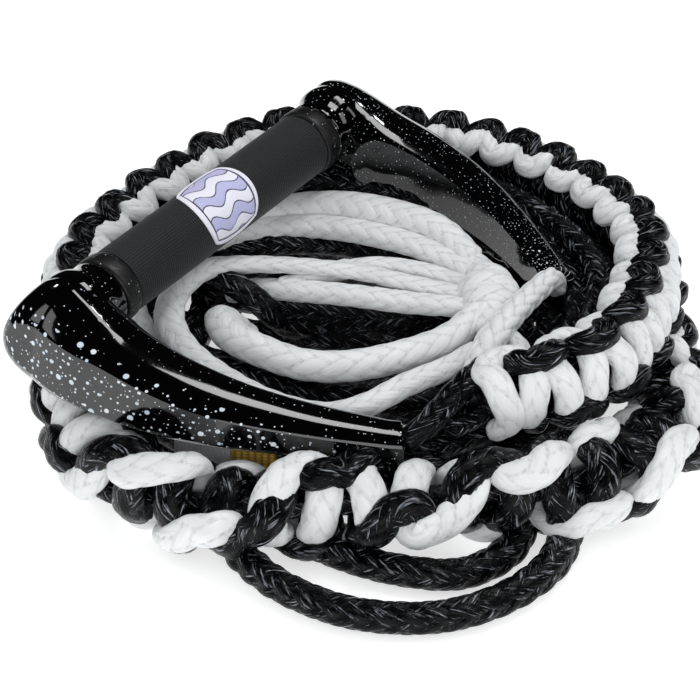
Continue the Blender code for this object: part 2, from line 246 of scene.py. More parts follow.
def rope_grid(path, wide, thick, normal, relief, sides):
    """Surface of a braided rope along a path. Wide and thick are its half sizes across and along normal."""
    tangent = unit(np.gradient(path, axis=0))
    normal = unit(normal - tangent * np.sum(normal * tangent, 1, keepdims=True))
    across = np.cross(tangent, normal)
    at = lengths(path)
    turn = tau * np.arange(sides) / sides
    x = STRANDS * np.arange(sides)[None, :] / sides + 0 * at[:, None]
    y = at[:, None] / PICK + 0 * x
    crown = braid_crown(x, y)
    wide = np.broadcast_to(wide, at.shape)[:, None]
    thick = np.broadcast_to(thick, at.shape)[:, None]
    from_end = np.minimum(at, at[-1] - at)[:, None]
    size = np.clip(from_end / ROUNDED_END, 0, 1)
    size = np.sqrt(1 - (1 - size) ** 2) * (1 - END_TIP) + END_TIP
    rise = relief * (crown - CROWN_MIDDLE) * size
    outline = np.stack([wide * size * np.cos(turn), thick * size * np.sin(turn)], -1)
    facing = unit(np.stack([np.cos(turn) * thick, np.sin(turn) * wide], -1))
    outline = outline + facing * rise[..., None]
    grid = path[:, None, :] + outline[..., :1] * across[:, None, :] + outline[..., 1:] * normal[:, None, :]

    def uv(i, j):
        along = at[i] / PICK
        return STRANDS * j / sides + 0.0 * along, along

    return grid, uv, crown


def rope(name, path, material, relief, wide=5.0 * MM, thick=None, normal=None, sides=32):
    if normal is None:
        normal = parallel_normals(path)
    if thick is None:
        thick = wide
    grid, uv, crown = rope_grid(path, wide, thick, normal, relief, sides)
    return grid_object(name, grid, material, uv=uv, values={"crown": crown})


# ---- node materials

class Graph:
    """Short notation for a material's nodes."""

    def __init__(self, name):
        self.material = bpy.data.materials.new(name)
        self.material.use_nodes = True
        self.tree = self.material.node_tree
        self.shader = self.tree.nodes["Principled BSDF"]
        self.coordinates = None

    def put(self, socket, value):
        if isinstance(value, bpy.types.NodeSocket):
            self.tree.links.new(value, socket)
        elif value is not None:
            if hasattr(socket.default_value, "__len__") and not hasattr(value, "__len__"):
                value = [value] * len(socket.default_value)
            if hasattr(value, "__len__") and len(value) == 3 and len(socket.default_value) == 4:
                value = (*value, 1)
            socket.default_value = value

    def node(self, kind, output=0, settings=None, **inputs):
        made = self.tree.nodes.new(kind)
        for key, value in (settings or {}).items():
            setattr(made, key, value)
        for key, value in inputs.items():
            self.put(made.inputs[int(key[1:]) if key[1:].isdigit() else key.replace("_", " ")], value)
        return made.outputs[output]

    def math(self, operation, *values):
        inputs = {f"i{k}": value for k, value in enumerate(values)}
        return self.node("ShaderNodeMath", settings={"operation": operation}, **inputs)

    def vector(self, x, y, z):
        return self.node("ShaderNodeCombineXYZ", X=x, Y=y, Z=z)

    def noise(self, vector, scale, detail=2.0, roughness=0.5):
        inputs = {"Vector": vector, "Scale": scale, "Detail": detail, "Roughness": roughness}
        return self.node("ShaderNodeTexNoise", **inputs)

    def mix(self, factor, a, b):
        """A mix of two colours."""
        made = self.tree.nodes.new("ShaderNodeMix")
        made.data_type = "RGBA"
        self.put(made.inputs[0], factor)
        self.put(made.inputs[6], a)
        self.put(made.inputs[7], b)
        return made.outputs[2]

    def scaled(self, value, low, high, new_low=0.0, new_high=1.0):
        return self.node("ShaderNodeMapRange", i0=value, i1=low, i2=high, i3=new_low, i4=new_high)

    def split_uv(self):
        split = self.tree.nodes.new("ShaderNodeSeparateXYZ")
        self.put(split.inputs[0], self.uv())
        return split.outputs[:2]

    def uv(self):
        return self.node("ShaderNodeUVMap", settings={"uv_map": "braid"})

    def attribute(self, name):
        return self.node("ShaderNodeAttribute", output=2, settings={"attribute_name": name})

    def place(self):
        """Object coordinates in millimetres."""
        if self.coordinates is None:
            found = self.node("ShaderNodeTexCoord", output=3)
            scale = {"operation": "SCALE"}
            self.coordinates = self.node("ShaderNodeVectorMath", settings=scale, i0=found, i3=1 / MM)
        return self.coordinates

    def bump(self, height, distance, strength):
        return self.node("ShaderNodeBump", Height=height, Distance=distance, Strength=strength)

    def finish(self, colour, roughness, normal=None, **more):
        """The graph's surface, with any other inputs of the shader by name."""
        self.put(self.shader.inputs["Base Color"], colour)
        self.put(self.shader.inputs["Roughness"], roughness)
        self.put(self.shader.inputs["Normal"], normal)
        for key, value in more.items():
            self.put(self.shader.inputs[key.replace("_", " ")], value)
        return self.material


def rope_material(name, gap_shade_and_patches, body, painted_glint, roughness, fibre_bump, specular=0.5, sheen=0.0):
    """Braided filament rope: fibres follow whichever strand is on top; shade is painted into the gaps and
    glints are painted on the strands' crowns.
    """
    g = Graph(name)
    x, y = g.split_uv()
    a, b = g.math("ADD", x, y), g.math("SUBTRACT", x, y)
    row_a, row_b = g.math("FLOOR", a), g.math("FLOOR", b)
    phase = g.math("FLOORED_MODULO", g.math("ADD", row_a, row_b), 4.0)
    a_on_top = g.math("LESS_THAN", phase, 1.5)

    def chosen(if_a, if_b):
        difference = g.math("SUBTRACT", if_a, if_b)
        return g.math("MULTIPLY_ADD", difference, a_on_top, if_b)

    across, along, strand = chosen(a, b), chosen(b, a), chosen(row_a, row_b)

    def on_strand(*scales):
        return g.vector(*(g.math("MULTIPLY", *pair) for pair in zip((across, along, strand), scales)))

    fibres = g.noise(on_strand(6.0, 0.8, 3.7), 1.0, detail=3.0, roughness=0.65)
    coarse = g.noise(on_strand(2.6, 0.7, 1.9), 1.0, detail=1.0)
    crown = g.attribute("crown")
    depth = g.scaled(crown, 0.05, 0.55)
    # Painted glints: pale streaks where the fibre noise is high, only on the strands' crowns.
    painted_glint_mask = g.scaled(fibres, 0.57, 0.76)
    # Painted shade: the colour darkens from the strands into the gaps between them.
    colour = g.mix(depth, gap_shade_and_patches, body)
    colour = g.mix(g.math("MULTIPLY", painted_glint_mask, depth), colour, painted_glint)
    # Random darker patches take the gaps' colour as a tone.
    patch = g.noise(g.place(), 0.09, detail=2.0)
    colour = g.mix(g.scaled(patch, 0.35, 0.7, 0.0, 0.25), colour, gap_shade_and_patches)
    height = g.math("ADD", fibres, g.math("MULTIPLY", coarse, 0.8))
    return g.finish(
        colour,
        g.scaled(fibres, 0.3, 0.7, roughness + 0.1, roughness - 0.08),
        g.bump(height, 0.5 * MM, fibre_bump),
        Specular_IOR_Level=specular,
        Sheen_Weight=sheen,
    )


# Each rope's colours: painted shade in the gaps, the strands' own colour, painted glints.
BLACK_ROPE = rope_material(
    "black_rope", (0.0002, 0.0002, 0.0003), (0.0012, 0.0014, 0.002), (0.46, 0.5, 0.56), 0.2, 1.0, 0.15
)
WHITE_ROPE = rope_material(
    "white_rope", (0.52, 0.53, 0.535), (0.79, 0.81, 0.815), (0.88, 0.9, 0.91), 0.42, 0.9, 0.4, 0.1
)


# Dots of the spatter: (cell, largest radius as a share of it, attribute, low, high, least chance).
LARGE_DOTS = ((5.0, 0.2, "spatter", 0.3, 1.0, 0.0), (3.4, 0.14, "spatter", 0.2, 1.0, 0.02))
FINE_DOTS = ((2.6, 0.06, "glitter", 0.15, 1.0, 0.1), (1.5, 0.12, "glitter", 0.35, 1.0, 0.0))


def moulded(name, body, roughness, layers, coat):
    """Moulded black plastic with a spatter of pale round dots."""
    g = Graph(name)
    place = g.place()
    surface = g.uv()
    dots = tint = None
    for cell, largest, attribute, low, high, least in layers:
        cells = g.tree.nodes.new("ShaderNodeTexVoronoi")
        cells.voronoi_dimensions = "2D"
        g.put(cells.inputs["Vector"], surface)
        g.put(cells.inputs["Scale"], 1 / cell)
        random = g.tree.nodes.new("ShaderNodeSeparateColor")
        g.put(random.inputs[0], cells.outputs["Color"])
        chance = g.scaled(g.attribute(attribute), low, high, least, 0.85)
        present = g.math("LESS_THAN", random.outputs[1], chance)
        radius = g.math("MULTIPLY_ADD", g.math("POWER", random.outputs[0], 1.6), largest, 0.045)
        inside = g.scaled(g.math("SUBTRACT", radius, cells.outputs["Distance"]), -0.015, 0.02)
        inside = g.math("MULTIPLY", inside, present)
        dots = inside if dots is None else g.math("MAXIMUM", dots, inside)
        tint = random.outputs[2] if tint is None else tint
    colour = g.mix(dots, body, g.mix(tint, (0.5, 0.6, 0.68), (0.78, 0.84, 0.88)))
    waviness = g.noise(place, 0.06, detail=1.0)
    wear = g.noise(place, 1.6, detail=3.0)
    return g.finish(
        colour, g.scaled(wear, 0.4, 0.75, roughness, roughness * 2), g.bump(waviness, 0.4 * MM, 0.25),
        IOR=1.6, Coat_Weight=coat, Coat_Roughness=0.03,
    )


GLOSS_BLACK = moulded("speckled_gloss_black", (0.0004, 0.0004, 0.0006), 0.05, LARGE_DOTS + FINE_DOTS, 0.3)
COLLAR_BLACK = moulded("collar_black", (0.003, 0.0025, 0.0025), 0.36, FINE_DOTS[:1], 0.0)


def sleeve_material():
    """Tight woven nylon: square cells, with shade painted into the pit between the threads and painted
    highlights as pale flecks.
    """
    g = Graph("woven_nylon")
    waves = [g.math("SINE", g.math("MULTIPLY", c, tau)) for c in g.split_uv()]
    pits = g.math("MULTIPLY", *(g.math("MULTIPLY_ADD", wave, 0.5, 0.5) for wave in waves))
    grain = g.noise(g.uv(), 5.0, detail=2.0)
    tone = g.noise(g.place(), 0.04, detail=2.0)
    body = g.mix(tone, (0.006, 0.008, 0.0105), (0.011, 0.0145, 0.018))
    # Painted highlights: paler bluish flecks where the grain noise is high.
    body = g.mix(g.scaled(grain, 0.45, 0.75), body, (0.035, 0.042, 0.05))
    # Painted shade: the colour darkens to near black in the pits between the threads.
    colour = g.mix(g.scaled(pits, 0.12, 0.42), body, (0.0006, 0.0006, 0.0008))
    height = g.math("SUBTRACT", g.math("MULTIPLY", grain, 0.25), pits)
    return g.finish(
        colour, g.scaled(grain, 0.3, 0.7, 0.75, 0.55), g.bump(height, 0.25 * MM, 0.8), Sheen_Weight=0.12,
        Sheen_Roughness=0.4,
    )


SLEEVE_CLOTH = sleeve_material()


def thread_material():
    """Embroidery: the tone attribute picks dark, lavender or white thread."""
    g = Graph("emblem_thread")
    tone = g.attribute("tone")
    light = g.mix(g.scaled(tone, 0.45, 0.55), (0.5, 0.5, 0.78), (0.86, 0.86, 0.95))
    colour = g.mix(g.scaled(tone, 0.2, 0.3), (0.01, 0.01, 0.02), light)
    grain = g.noise(g.place(), 4.0, detail=2.0)
    colour = g.mix(g.scaled(grain, 0.4, 0.8, 0.0, 0.25), colour, (0.3, 0.3, 0.42))
    return g.finish(colour, 0.5, g.bump(grain, 0.1 * MM, 0.6), Sheen_Weight=0.3)


THREAD = thread_material()


def plain_material(name, dark, light, roughness, scale, bump, metallic=0.0):
    """A solid body colour with grain, for webbing, foam and the metal tube."""
    g = Graph(name)
    grain = g.noise(g.place(), scale, detail=4.0)
    rough = g.scaled(grain, 0.3, 0.7, roughness - 0.08, roughness + 0.08)
    return g.finish(g.mix(grain, dark, light), rough, g.bump(grain, 0.2 * MM, bump), Metallic=metallic)


TUBE_METAL = plain_material("anodised_tube", (0.55, 0.56, 0.58), (0.75, 0.76, 0.78), 0.3, 2.0, 0.1, 1.0)
FOAM = plain_material("eva_foam", (0.02, 0.02, 0.022), (0.06, 0.06, 0.065), 0.85, 1.5, 0.6)
TAB_CLOTH = plain_material("grey_tab", (0.3, 0.3, 0.31), (0.5, 0.5, 0.52), 0.75, 2.5, 0.5)


def webbing_material():
    g = Graph("yellow_webbing")
    rib = g.attribute("rib")
    grain = g.noise(g.place(), 2.2, detail=3.0)
    # Painted shade: the yellow darkens to brown into the grooves between the ribs, where the yarns dip, and
    # on the band's inner face.
    colour = g.mix(rib, (0.05, 0.03, 0.004), (0.75, 0.46, 0.05))
    colour = g.mix(g.scaled(grain, 0.45, 0.8, 0.0, 0.5), colour, (0.35, 0.2, 0.02))
    return g.finish(colour, 0.6, g.bump(grain, 0.2 * MM, 0.5), Sheen_Weight=0.2)


WEBBING = webbing_material()


# ---- the knotted section

# Centre line: (angle, radius, height) in degrees and millimetres, round the coil's centre.
KNOTTED_LINE = (
    (-62, 103, 46), (-30, 117, 48), (15, 124, 43), (60, 122, 42), (105, 124, 39.5), (150, 118, 31),
    (180, 116, 25), (205, 116, 21.5), (224, 127, 20.4), (240, 133, 21), (254, 126, 21), (272, 119, 22),
    (290, 124, 23), (308, 136, 22), (326, 141, 21), (343, 132, 20), (365, 123, 19.5),
)
# How the knots change along it: (angle, pitch, edge reach, face reach, half width, half thickness) in
# degrees and millimetres, tight over most of the turn and loose across the front.
KNOT_SIZES = (
    (-62, 25, 11.2, 8.8, 5.9, 4.5), (-15, 23, 11.2, 8.6, 5.4, 4.3), (30, 18.5, 11.0, 8.4, 4.7, 4.1),
    (140, 19, 11.0, 8.4, 4.8, 4.1), (176, 22, 11.4, 8.6, 5.4, 4.2),
    (196, 33, 12.0, 9.0, 6.7, 4.9), (320, 35, 12.2, 9.0, 6.7, 4.9), (345, 26, 11.0, 8.4, 5.4, 4.2),
    (365, 24, 10.5, 8.0, 5.0, 4.0),
)
# Which way the face with the white bars looks: (angle round the coil, turn from outward towards up).
KNOT_ROLL = (
    (-62, 22), (150, 26), (190, 34), (219, 46), (243, 216), (268, 393), (307, 579), (340, 690), (365, 740),
)
ROLL_SOFTENING = 20  # millimetres of the line to either side over which the turn is averaged
CORD_END = 0.02  # a cord stops this share of a pitch short of the line's end
REACH_WOBBLE, ALONG_WOBBLE = 0.06, 0.02  # how unevenly the cords are pulled, as shares of reach and pitch
# Half a period of one cord: (share of the pitch, across the face, out of the face), from the middle of
# the loop at one edge, over the core, to the middle of the loop at the other edge.
HALF_KNOT = (
    (0.00, -1.02, -0.80), (0.17, -1.14, -0.62), (0.31, -1.02, 0.0), (0.31, -0.70, 0.66),
    (0.25, 0.00, 1.00), (0.19, 0.70, 0.66), (0.19, 1.02, 0.0), (0.33, 1.14, -0.62),
)


def ring_path():
    angle, radius, height = np.array(KNOTTED_LINE, float).T
    turn = np.radians(angle)
    points = np.stack([radius * np.cos(turn), radius * np.sin(turn), height], 1)
    path = catmull_rom(points, 40)
    angles = catmull_rom(angle[:, None], 40)[:, 0]
    return evenly(on_coil(path), 1 * MM, angles)


def knotted_section():
    path, angle = ring_path()
    at = lengths(path)
    sizes = np.array(KNOT_SIZES, float)
    rolls = np.array(KNOT_ROLL, float)
    pitch = np.interp(angle, sizes[:, 0], sizes[:, 1]) * MM
    knots = np.concatenate([[0], np.cumsum(np.diff(at) / ((pitch[1:] + pitch[:-1]) / 2))])
    tangent = unit(np.gradient(path, axis=0))
    outward = unit(np.cross(tangent, UP))
    upward = np.cross(outward, tangent)
    roll = np.radians(np.interp(angle, rolls[:, 0], rolls[:, 1]))
    softening = np.ones(2 * ROLL_SOFTENING + 1) / (2 * ROLL_SOFTENING + 1)
    roll = np.convolve(np.pad(roll, ROLL_SOFTENING, mode="edge"), softening, mode="valid")[:, None]
    face = outward * np.cos(roll) + upward * np.sin(roll)
    edge = upward * np.cos(roll) - outward * np.sin(roll)

    def cord(name, shift, front, material, relief):
        """One cord: it crosses the face (front 1) or the back (front -1) at every half knot."""
        halves = int(knots[-1] * 2) - 1
        rows = []
        for half in range(halves):
            side = 1 if half % 2 == 0 else -1
            for share, across, out in HALF_KNOT:
                wobble = 1 + REACH_WOBBLE * RANDOM.standard_normal(3)
                at_knot = share + half / 2 + shift
                rows.append((at_knot, side * across * wobble[0], front * out * wobble[1]))
        rows = np.array(rows)
        rows[:, 0] += ALONG_WOBBLE * RANDOM.standard_normal(len(rows))
        rows = catmull_rom(rows[1:-1], 10)
        inside = (rows[:, 0] > CORD_END) & (rows[:, 0] < knots[-1] - CORD_END)
        rows = rows[inside]
        along = rows[:, 0]

        def here(values):
            values = np.asarray(values)
            if values.ndim == 1:
                return np.interp(along, knots, values)
            return np.stack([np.interp(along, knots, column) for column in values.T], 1)

        edge_reach, face_reach, half_width, half_thickness = (
            np.interp(here(angle), sizes[:, 0], sizes[:, k]) * MM for k in (2, 3, 4, 5)
        )
        offset = unit(here(edge)) * (rows[:, 1] * edge_reach)[:, None]
        offset = offset + unit(here(face)) * (rows[:, 2] * face_reach)[:, None]
        line, normal, wide, thick = evenly(
            here(path) + offset, 1.05 * MM, offset, half_width, half_thickness
        )
        return rope(name, line, material, relief, wide, thick, unit(normal), sides=28)

    white = cord("white_knotting_rope", 0.0, 1, WHITE_ROPE, 0.6 * MM)
    black = cord("black_knotting_rope", 0.5, -1, BLACK_ROPE, 0.75 * MM)
    core = rope("core_rope", evenly(path, 1.2 * MM), BLACK_ROPE, 0.6 * MM, wide=4.6 * MM, sides=20)
    for piece, node, slot in (
        (white, "white_knotting_cord", "white_rope"),
        (black, "black_knotting_cord", "black_rope"),
        (core, "knotted_core_rope", "black_rope"),
    ):
        settle(piece, "rope_coil", slot, node)


def settle(piece, body, slot, *nodes):
    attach(piece, body)
    if nodes:
        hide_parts(*nodes)
    return piece


# ---- lines inside the coil

INNER_TURN, OUTER_TURN = 66, 97  # radii of the main line's turns
TURN_PITCH = 10.8
LINE_HEIGHT = 5.2
STEP_OUT, STEPS_UP, STEP_LENGTH = 330, (680, 1040), 60  # degrees along the line where it changes turns


def eased(share):
    share = np.clip(share, 0, 1)
    return share * share * (3 - 2 * share)


def main_line():
    """Four turns: one small, one large round it, and two stacked on that."""
    degrees = np.arange(15, 1411, 2.0)
    radius = INNER_TURN + (OUTER_TURN - INNER_TURN) * eased((degrees - STEP_OUT) / STEP_LENGTH)
    radius = radius + 1.0 * np.sin(np.radians(degrees) * 1.7)
    raised = sum(eased((degrees - step) / STEP_LENGTH) for step in STEPS_UP)
    height = LINE_HEIGHT + TURN_PITCH * raised
    turn = np.radians(degrees)
    path = np.stack([radius * np.cos(turn), radius * np.sin(turn), height], 1)
    line = rope("main_line", evenly(on_coil(path), 1.1 * MM), BLACK_ROPE, 0.8 * MM, sides=30)
    settle(line, "rope_coil", "black_rope", "black_main_line")


# Extra turns of line round the inside: (angle, radius, height) in degrees and millimetres.
BLACK_TURNS = (
    ((-75, 92, 31), (-40, 93, 34), (0, 92, 35), (40, 90, 35), (80, 88, 33), (120, 90, 32), (160, 92, 32)),
    ((-60, 80, 22), (-20, 81, 27), (20, 82, 29), (60, 80, 29), (100, 78, 27), (140, 80, 23), (175, 84, 21)),
    ((-48, 70, 13), (-10, 70, 17), (30, 71, 19), (70, 69, 19), (110, 68, 17), (150, 66, 15), (190, 66, 15)),
    ((-58, 100, 16), (-25, 104, 18), (10, 107, 19), (45, 106, 20), (80, 104, 20), (115, 104, 20)),
    ((-25, 109, 27), (5, 112, 29), (30, 113, 30), (55, 111, 30), (80, 107, 29), (105, 104, 28)),
    ((-70, 102, 38), (-35, 100, 41), (5, 101, 41), (45, 100, 40), (75, 99, 38), (105, 98, 38),
     (135, 99, 36)),
)
# Black line lying across the middle: (x, y, height) from the coil's centre in millimetres.
BLACK_ACROSS = (
    ((-76, 50, 14), (-68, 36, 28), (-60, 22, 36), (-49, 9, 37), (-38, 3, 32), (-26, 4, 20), (-8, 10, 13),
     (20, 14, 12), (50, 24, 14), (74, 44, 20)),
    ((-84, 22, 12), (-64, 14, 13), (-42, 9, 13), (-15, 6, 11), (12, 5, 10), (38, 9, 10), (66, 18, 12),
     (82, 30, 16)),
    ((-78, 8, 10), (-60, -6, 10), (-38, -14, 9), (-10, -18, 7), (20, -16, 7), (48, -8, 8), (74, 4, 12)),
    ((-66, 32, 17), (-50, 27, 18), (-28, 22, 17), (-5, 19, 16), (18, 18, 15), (42, 19, 16), (62, 24, 18),
     (76, 34, 20)),
    ((-72, -8, 12), (-52, -20, 12), (-30, -27, 9), (-4, -28, 8), (24, -26, 8), (48, -18, 9), (70, -4, 12)),
    ((-52, 84, 34), (-34, 88, 38), (-8, 86, 41), (14, 79, 42), (34, 68, 42), (52, 54, 41), (66, 36, 38)),
    ((-72, 20, 26), (-58, 38, 30), (-38, 47, 31), (-15, 50, 31), (6, 45, 31), (26, 34, 31), (48, 22, 28)),
    ((-80, -14, 24), (-62, -32, 26), (-40, -45, 27), (-18, -56, 27), (8, -60, 26), (34, -58, 24),
     (60, -46, 20)),
    ((-74, -36, 22), (-50, -54, 24), (-24, -66, 24), (4, -70, 22), (32, -66, 20), (58, -56, 18)),
)
# White line: (x, y, height, half width).
WHITE_FRONT = (
    (-40, -6, 19, 6.0), (-46, -11, 27, 7.2), (-50, -19, 35, 8.0), (-46, -33, 38, 7.8), (-35, -46, 40, 7.4),
    (-18, -56, 40, 7.2), (0, -57, 40, 7.2), (19, -52, 41, 7.2), (36, -43, 42, 7.0), (46, -33, 44, 6.6),
    (51, -20, 44, 5.6),
)
WHITE_BACK = (
    (-74, 46, 30, 6.0), (-60, 54, 34, 7.0), (-42, 62, 36, 8.0), (-21, 66, 38, 8.4), (0, 60, 42, 8.2),
    (21, 46, 46, 7.6), (37, 31, 48, 6.6), (50, 8, 48, 5.2),
)
WHITE_STRANDS = (
    ((-76, 28, 30, 4.8), (-62, 39, 33, 5.4), (-44, 50, 35, 6.0), (-25, 54, 36, 6.2), (-4, 48, 39, 6.0),
     (21, 31, 43, 5.8), (38, 15, 45, 5.2), (51, -2, 46, 4.4)),
    ((-30, 8, 35, 4.2), (-10, 14, 37, 4.4), (8, 16, 40, 4.6), (28, 9, 42, 4.6), (49, -6, 44, 4.2)),
    ((51, -16, 46, 3.8), (40, -10, 44, 4.0), (24, -2, 43, 4.0), (4, 8, 42, 3.9), (-20, 13, 42, 3.9),
     (-45, 14, 42, 4.3), (-60, 9, 42, 5.0), (-70, -6, 40, 5.8), (-71, -24, 38, 6.2), (-63, -42, 36, 6.0),
     (-48, -58, 34, 5.8), (-30, -72, 33, 5.6), (-10, -81, 34, 5.4), (6, -79, 37, 5.2), (21, -70, 40, 5.2),
     (38, -59, 41, 5.0), (50, -48, 42, 4.8)),
    ((-50, 20, 24, 4.8), (-38, 13, 31, 5.2), (-20, 5, 35, 5.4), (0, -3, 38, 5.4), (20, -11, 40, 5.4),
     (39, -19, 43, 5.0), (51, -22, 44, 4.6)),
    ((-86, 24, 28, 4.6), (-88, 6, 30, 4.8), (-83, -14, 30, 4.8), (-74, -32, 30, 4.8), (-63, -50, 28, 4.6),
     (-50, -66, 26, 4.4)),
    ((12, -97, 31, 4.2), (22, -91, 32, 4.4), (36, -82, 34, 4.6), (50, -73, 36, 4.6), (63, -66, 38, 4.4)),
)


def polar(points):
    angle, radius, height = np.array(points, float).T
    turn = np.radians(angle)
    return np.stack([radius * np.cos(turn), radius * np.sin(turn), height], 1)


def flat_rope(name, points, material, flatness=0.78, sides=34):
    """A hollow braid lying flattened: each point also gives its half width."""
    rows = catmull_rom(points, 24)
    path, wide = evenly(on_coil(rows[:, :3]), 0.95 * MM, rows[:, 3] * MM)
    return rope(name, path, material, 0.5 * MM, wide, wide * flatness, sides=sides)


def inner_lines():
    turns = [polar(points) for points in BLACK_TURNS] + list(BLACK_ACROSS)
    strands = []
    for k, points in enumerate(turns):
        path = smooth_through(on_coil(points), 1.15 * MM)
        strands.append(rope(f"strand_{k}", path, BLACK_ROPE, 1.2 * MM, 5.6 * MM, 4.8 * MM, sides=30))
    half = len(strands) // 2
    settle(join("black_inner_strands", strands[:half]), "rope_coil", "black_rope")
    settle(join("black_cross_strands", strands[half:]), "rope_coil", "black_rope")
    front = flat_rope("white_front_bight", WHITE_FRONT, WHITE_ROPE, flatness=0.85, sides=40)
    settle(front, "rope_coil", "white_rope", "white_line_front_bight")
    back = flat_rope("white_back_run", WHITE_BACK, WHITE_ROPE)
    settle(back, "rope_coil", "white_rope", "white_line_back_run")
    strands = [flat_rope(f"white_{k}", points, WHITE_ROPE) for k, points in enumerate(WHITE_STRANDS)]
    settle(join("white_inner_strands", strands), "rope_coil", "white_rope")


def wrapped_knot(name, centre, axis, radius, turns, half_length, material, wide, thick, flat):
    """A knot drawn as a flat band of line wound round an axis, bulging in the middle."""
    axis = unit(np.array(axis, float))
    side = unit(np.cross(axis, UP))
    lift = np.cross(side, axis)
    t = np.linspace(0, 1, int(60 * turns))
    turn = tau * turns * t
    bulge = radius * (0.66 + 0.34 * np.sin(pi * t) ** 0.7)
    along = half_length * (2 * t - 1)
    ring = np.array(centre, float) + along[:, None] * axis
    path = ring + (bulge * np.cos(turn))[:, None] * side + (bulge * flat * np.sin(turn))[:, None] * lift
    line, normal = evenly(on_coil(path), 0.8 * MM, path - ring)
    return rope(name, line, material, 0.25 * MM, wide, thick, unit(normal))


# The white knot's own lines: (x, y, height, half width) from the coil's centre in millimetres.
GATHER_CORE = ((50, 12, 46, 5), (53, -2, 46, 7.5), (55, -14, 46, 8), (55, -28, 46, 7.5), (53, -42, 45, 5.5))
SMALL_LOOP = ((54, -40, 45, 4), (61, -46, 46, 4), (65, -54, 45, 4), (62, -61, 42, 4), (56, -57, 41, 4),
              (53, -46, 42, 4))


def knots():
    gather = wrapped_knot(
        "gather_wraps", (55, -15, 46), (-0.12, 1, 0.05), 9.0, 2.4, 8.5, WHITE_ROPE, 6.4 * MM, 3.4 * MM, 0.72
    )
    inside = flat_rope("gather_core", GATHER_CORE, WHITE_ROPE, flatness=0.7)
    small = flat_rope("gather_loop", SMALL_LOOP, WHITE_ROPE)
    settle(join("white_gather", [gather, inside, small]), "rope_coil", "white_rope", "white_gather_knot")
    tie = wrapped_knot(
        "tie_wraps", (50, -80, 43), (1, 0.35, 0.1), 7.0, 1.8, 6.0, BLACK_ROPE, 5.6 * MM, 4.0 * MM, 0.8
    )
    settle(join("black_tie", [tie]), "rope_coil", "black_rope", "black_tie_knot")


# ---- handle

HEAD_X, TIP_X = 92 * MM, 62 * MM
ARM_BULGE = 9 * MM
SLEEVE_HALF = 63 * MM
COVER_OUTER, COVER_INNER = 13.75 * MM, 12.8 * MM
THREAD_PITCH = 1.2 * MM
CHANNEL_RADIUS = 5.2 * MM
NEAR_MOUTH, FAR_MOUTH = 0.8 * MM, 4.0 * MM  # how far a tip's sides reach beyond its top and bottom
MOUTH_LENGTH = 16 * MM  # length of arm over which they do so
HEAD_START, HEAD_END = 124 * MM, 143.6 * MM
HEAD_HALF = 21 * MM
HEAD_POWER = 2.5  # of the superellipse that closes the head
HEAD_CORNER = 0.66  # how far the head closes towards its outer corner, as a share of its half width
RIM_LENGTH = 1.6 * MM  # how far the tip's rounded rim reaches
# Half width along the arm: (distance from the tip line, half width) in millimetres.
ARM_STATIONS = (
    (0, 7.9), (6, 8.3), (18, 9.2), (36, 10.9), (53, 12.8), (70, 14.8), (86, 16.6), (101, 18.2), (114, 20.2),
    (125, 21.0), (133, 20.6),
)
# Section of the arm: distance from the tip line in millimetres, then as shares of the half width its
# height, the distances of the flat outer panel and of the flat inner wall, its outward slope, the outer
# and inner reach of the soft form, and how far it hangs below the arm's plane in millimetres.
ARM_SHAPE = (
    (-8, 0.92, 1.02, 0.85, 0.05, 1.08, 1.08, 7.4), (0, 0.94, 1.02, 0.85, 0.05, 1.08, 1.08, 7.2),
    (14, 0.86, 1.01, 0.70, 0.06, 1.08, 1.08, 6.6), (35, 0.84, 0.995, 0.62, 0.08, 1.08, 1.08, 6.5),
    (60, 0.83, 0.97, 0.60, 0.10, 1.08, 1.08, 6.8), (95, 0.83, 0.84, 0.62, 0.14, 1.04, 1.06, 6.8),
    (108, 0.87, 0.84, 0.84, 0.22, 0.98, 0.94, 6.0), (118, 0.92, 0.84, 1.20, 0.28, 0.94, 0.84, 4.6),
    (130, 0.95, 0.84, 1.20, 0.31, 0.92, 0.82, 3.2), (150, 0.95, 0.84, 1.20, 0.31, 0.92, 0.82, 3.0),
)
NEAR_START, FAR_START = -3.6 * MM, 2.5 * MM
PANEL_FACING, WALL_FACING = 8, 184  # degrees from outward towards up
SECTION_POWER = 2.35
APART = 40  # keeps the spatter of the two arms different
GLITTER = {-1: (0.25, 0.2), 1: (0.5, 0.5)}  # share of the fine dots everywhere and more towards the tip
DOTS_ON_RIM = {"spatter": 0.0, "glitter": 1.0}
LEAST_FLAT = 0.1  # radians to either side of a flat's facing that count as the flat


def arm_centre(side, y):
    share = np.clip(1 - y / ARM_REACH, 0, 1)
    x = HEAD_X + (TIP_X - HEAD_X) * share**1.5 + ARM_BULGE * np.sin(pi * share)
    x = np.where(y < 0, TIP_X + y * 0.75, x)
    shapes = catmull_rom(np.array(ARM_SHAPE), 12)
    return np.stack([side * x, y, -np.interp(y / MM, shapes[:, 0], shapes[:, -1]) * MM], -1)


